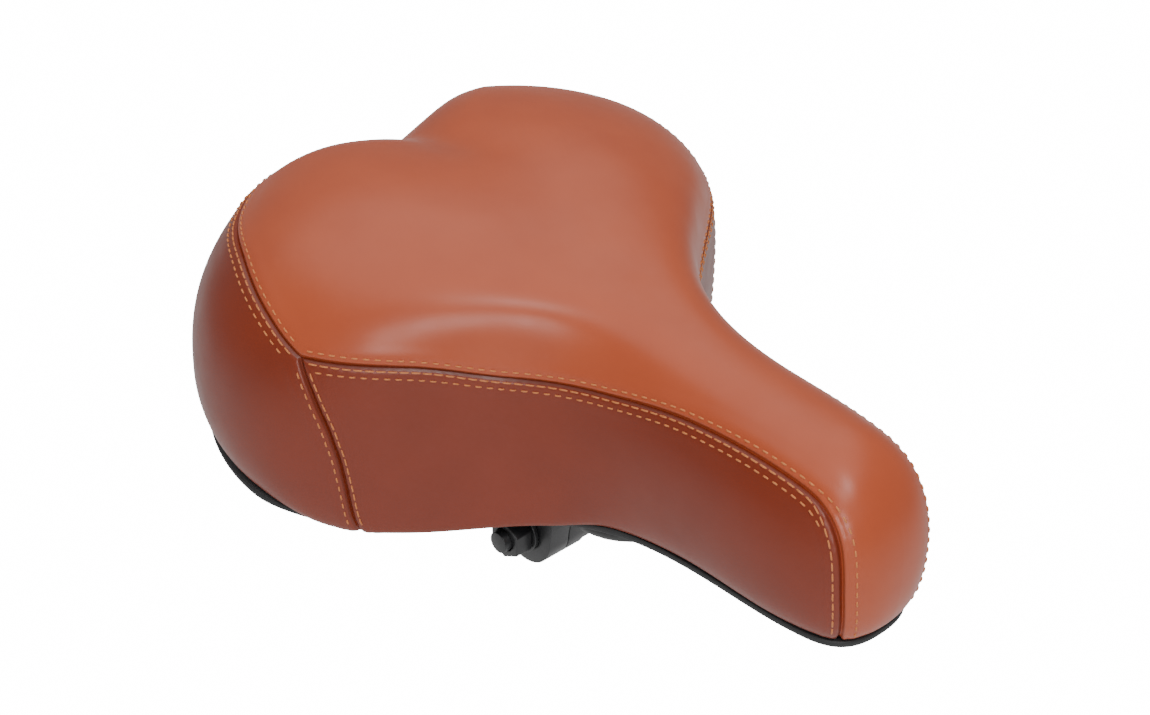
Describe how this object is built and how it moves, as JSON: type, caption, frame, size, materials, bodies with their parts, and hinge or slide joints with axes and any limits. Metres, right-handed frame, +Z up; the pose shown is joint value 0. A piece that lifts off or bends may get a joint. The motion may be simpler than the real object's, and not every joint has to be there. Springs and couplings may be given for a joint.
{
  "type": "bicycle saddle",
  "caption": "Wide comfort bicycle saddle with a sewn leather-look cover, steel rails on a tilting clamp and rubber bumpers at the rear.",
  "frame": {"origin": "centre of the mouth of the seat post socket, at the clamp's lower rim", "axes": "+X towards the saddle's nose, +Y to the rider's left, +Z up along the seat post"},
  "size_m": [0.268, 0.2074, 0.1322],
  "materials": {
    "leather_top": "smooth tan, semi-matte",
    "leather_side": "smooth reddish brown, semi-matte",
    "foam": "moulded foam",
    "black_plastic": "fine moulded grain",
    "black_steel": "black, satin",
    "zinc_steel": "zinc plated",
    "rubber": "matte"
  },
  "bodies": {
    "post_clamp": {"clamp_band": "black_steel"},
    "clamp_head": {"clamp_cheek_inner_left": "black_steel", "clamp_cheek_inner_right": "black_steel", "clamp_cheek_outer_left": "black_steel", "clamp_cheek_outer_right": "black_steel", "clamp_washer_left": "black_steel", "clamp_washer_right": "black_steel", "clamp_nut_left": "black_steel", "clamp_nut_right": "black_steel", "cross_bolt": "black_steel"},
    "rail_frame": {"rail_left": "black_steel", "rail_right": "black_steel", "rear_bridge": "black_steel", "bumper_left": "rubber", "bumper_right": "rubber", "nose_pivot_block": "black_plastic"},
    "seat": {"top_cover_panel": "leather_top", "rear_cover_panel": "leather_side", "left_side_panel": "leather_side", "right_side_panel": "leather_side", "foam_pad": "foam", "base_shell": "black_plastic", "guide_bolt": "zinc_steel", "guide_washer": "zinc_steel", "guide_nut": "zinc_steel", "nose_pivot_pin": "zinc_steel", "nose_pin_clip": "zinc_steel", "nose_bracket": "black_steel", "nose_screw_rear": "zinc_steel", "nose_screw_front": "zinc_steel"}
  },
  "joints": [
    {"name": "saddle_tilt", "type": "hinge", "parent": "post_clamp", "child": "clamp_head", "pos_m": [0.02, 0, 0.02], "axis": [0, 1, 0], "range_deg": [-20, 20]},
    {"name": "rail_slide", "type": "slide", "parent": "clamp_head", "child": "rail_frame", "axis": [1, 0, 0], "range_m": [-0.002, 0.018]},
    {"name": "seat_flex", "type": "hinge", "parent": "rail_frame", "child": "seat", "pos_m": [0.131, 0, 0.047], "axis": [0, -1, 0], "range_deg": [0, 2], "stiffness_Nm_per_rad": 3000, "springref_deg": -0.11, "deforming": ["bumper_left", "bumper_right"]}
  ]
}
